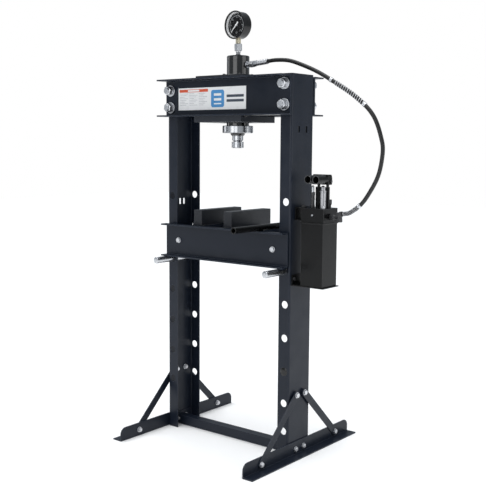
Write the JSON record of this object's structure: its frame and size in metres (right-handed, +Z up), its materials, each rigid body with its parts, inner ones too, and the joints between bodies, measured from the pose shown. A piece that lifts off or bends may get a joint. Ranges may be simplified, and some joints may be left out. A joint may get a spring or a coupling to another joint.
{
  "type": "hydraulic shop press",
  "caption": "Floor-standing hydraulic shop press: bolted channel frame, jack cylinder with pressure gauge, pinned height-adjustable bed, hose and two-lever hand pump.",
  "frame": {"origin": "middle of the footprint at floor level, the free hose left out", "axes": "+Z up; X along the beam with the pump at +X; the operator stands at -Y"},
  "size_m": [1.0879, 0.74, 1.8095],
  "materials": {
    "frame_paint": "dark blue-charcoal powder coat, semi-gloss, fine texture",
    "pump_enamel": "black enamel, glossy",
    "cylinder_enamel": "black enamel, high gloss",
    "zinc": "bright zinc plate, slightly satin",
    "chrome": "hard chrome, polished",
    "turned_steel": "turned steel, fine lathe marks",
    "blued_steel": "black oxide, satin",
    "gauge_enamel": "black enamel, satin",
    "dial": "matt black face with a pale printed scale",
    "needle": "matt white",
    "glass": "clear glass",
    "brass": "bright turned brass",
    "rubber": "black hose cover, semi-gloss",
    "label": "white plate with plain blue and orange panels, no lettering"
  },
  "bodies": {
    "frame": {"base_crossbar": "frame_paint", "beam_bolt_front_left_lower": "zinc", "beam_bolt_front_left_upper": "zinc", "beam_bolt_front_right_lower": "zinc", "beam_bolt_front_right_upper": "zinc", "beam_bolt_rear_left_lower": "zinc", "beam_bolt_rear_left_upper": "zinc", "beam_bolt_rear_right_lower": "zinc", "beam_bolt_rear_right_upper": "zinc", "cylinder_body": "cylinder_enamel", "cylinder_gland": "cylinder_enamel", "cylinder_hose_fitting": "zinc", "cylinder_lock_ring": "chrome", "front_top_channel": "frame_paint", "gauge_adapter": "zinc", "gauge_case": "gauge_enamel", "gauge_dial": "dial", "gauge_lens": "glass", "gauge_stem": "brass", "hose": "rubber", "label_plate": "label", "large_lever_link": "pump_enamel", "large_pump_cylinder": "turned_steel", "left_foot": "frame_paint", "left_front_brace": "frame_paint", "left_rear_brace": "frame_paint", "left_upright": "frame_paint", "pump_block": "pump_enamel", "pump_bracket": "pump_enamel", "pump_hose_fitting": "blued_steel", "pump_port_adapter": "blued_steel", "pump_shelf": "pump_enamel", "pump_tank": "pump_enamel", "ram_mount_plate": "frame_paint", "rear_top_channel": "frame_paint", "right_foot": "frame_paint", "right_front_brace": "frame_paint", "right_rear_brace": "frame_paint", "right_upright": "frame_paint", "small_lever_link": "pump_enamel", "small_pump_cylinder": "blued_steel", "top_plate": "frame_paint"},
    "ram": {"ram_rod": "chrome", "ram_tip": "chrome"},
    "pointer": {"gauge_needle": "needle"},
    "bed": {"front_bed_channel": "frame_paint", "rear_bed_channel": "frame_paint", "left_bed_spacer": "zinc", "right_bed_spacer": "zinc"},
    "left_pin": {"left_bed_pin": "chrome"},
    "right_pin": {"right_bed_pin": "chrome"},
    "left_block": {"left_press_block": "frame_paint"},
    "right_block": {"right_press_block": "frame_paint"},
    "handle": {"pump_handle": "pump_enamel"},
    "small_lever": {"small_lever_socket": "pump_enamel"},
    "large_lever": {"large_lever_socket": "pump_enamel"},
    "small_piston": {"small_plunger": "chrome"},
    "large_piston": {"large_plunger": "chrome"},
    "valve": {"release_valve": "blued_steel"}
  },
  "joints": [
    {"name": "ram_slide", "type": "slide", "parent": "frame", "child": "ram", "axis": [0, 0, -1], "range_m": [0, 0.15], "stiffness_N_per_m": 400, "springref_m": -0.3},
    {"name": "gauge_pointer", "type": "hinge", "parent": "frame", "child": "pointer", "pos_m": [-0.05075, 0, 1.752], "axis": [0.0872, 0.9962, 0], "range_deg": [0, 270], "stiffness_Nm_per_rad": 0.001, "springref_deg": -22.92},
    {"name": "bed_lift", "type": "slide", "parent": "frame", "child": "bed", "axis": [0, 0, 1], "range_m": [0, 0.25]},
    {"name": "left_pin_slide", "type": "slide", "parent": "frame", "child": "left_pin", "axis": [0, -1, 0], "range_m": [-0.03, 0.235]},
    {"name": "right_pin_slide", "type": "slide", "parent": "frame", "child": "right_pin", "axis": [0, -1, 0], "range_m": [-0.05, 0.205]},
    {"name": "left_block_slide", "type": "slide", "parent": "bed", "child": "left_block", "axis": [1, 0, 0], "range_m": [-0.06, 0.08]},
    {"name": "right_block_slide", "type": "slide", "parent": "bed", "child": "right_block", "axis": [1, 0, 0], "range_m": [-0.06, 0.1]},
    {"name": "handle_slide", "type": "slide", "parent": "bed", "child": "handle", "axis": [0, -1, 0], "range_m": [0, 0.15]},
    {"name": "small_lever_hinge", "type": "hinge", "parent": "frame", "child": "small_lever", "pos_m": [0.34625, 0.022, 1.122], "axis": [-1, 0, 0], "range_deg": [-8, 32]},
    {"name": "large_lever_hinge", "type": "hinge", "parent": "frame", "child": "large_lever", "pos_m": [0.38725, 0.022, 1.122], "axis": [-1, 0, 0], "range_deg": [-8, 32]},
    {"name": "small_plunger_slide", "type": "slide", "parent": "frame", "child": "small_piston", "axis": [0, 0, 1], "range_m": [-0.006, 0.0225]},
    {"name": "large_plunger_slide", "type": "slide", "parent": "frame", "child": "large_piston", "axis": [0, 0, 1], "range_m": [-0.0045, 0.017]},
    {"name": "release_valve_turn", "type": "hinge", "parent": "frame", "child": "valve", "pos_m": [0.40925, 0.01, 1.035], "axis": [0, 0, 1], "range_deg": [0, 270]}
  ],
  "couplings": [
    {"joint": "small_plunger_slide", "follows": "small_lever_hinge", "m_per_rad": 0.04},
    {"joint": "large_plunger_slide", "follows": "large_lever_hinge", "m_per_rad": 0.03}
  ]
}
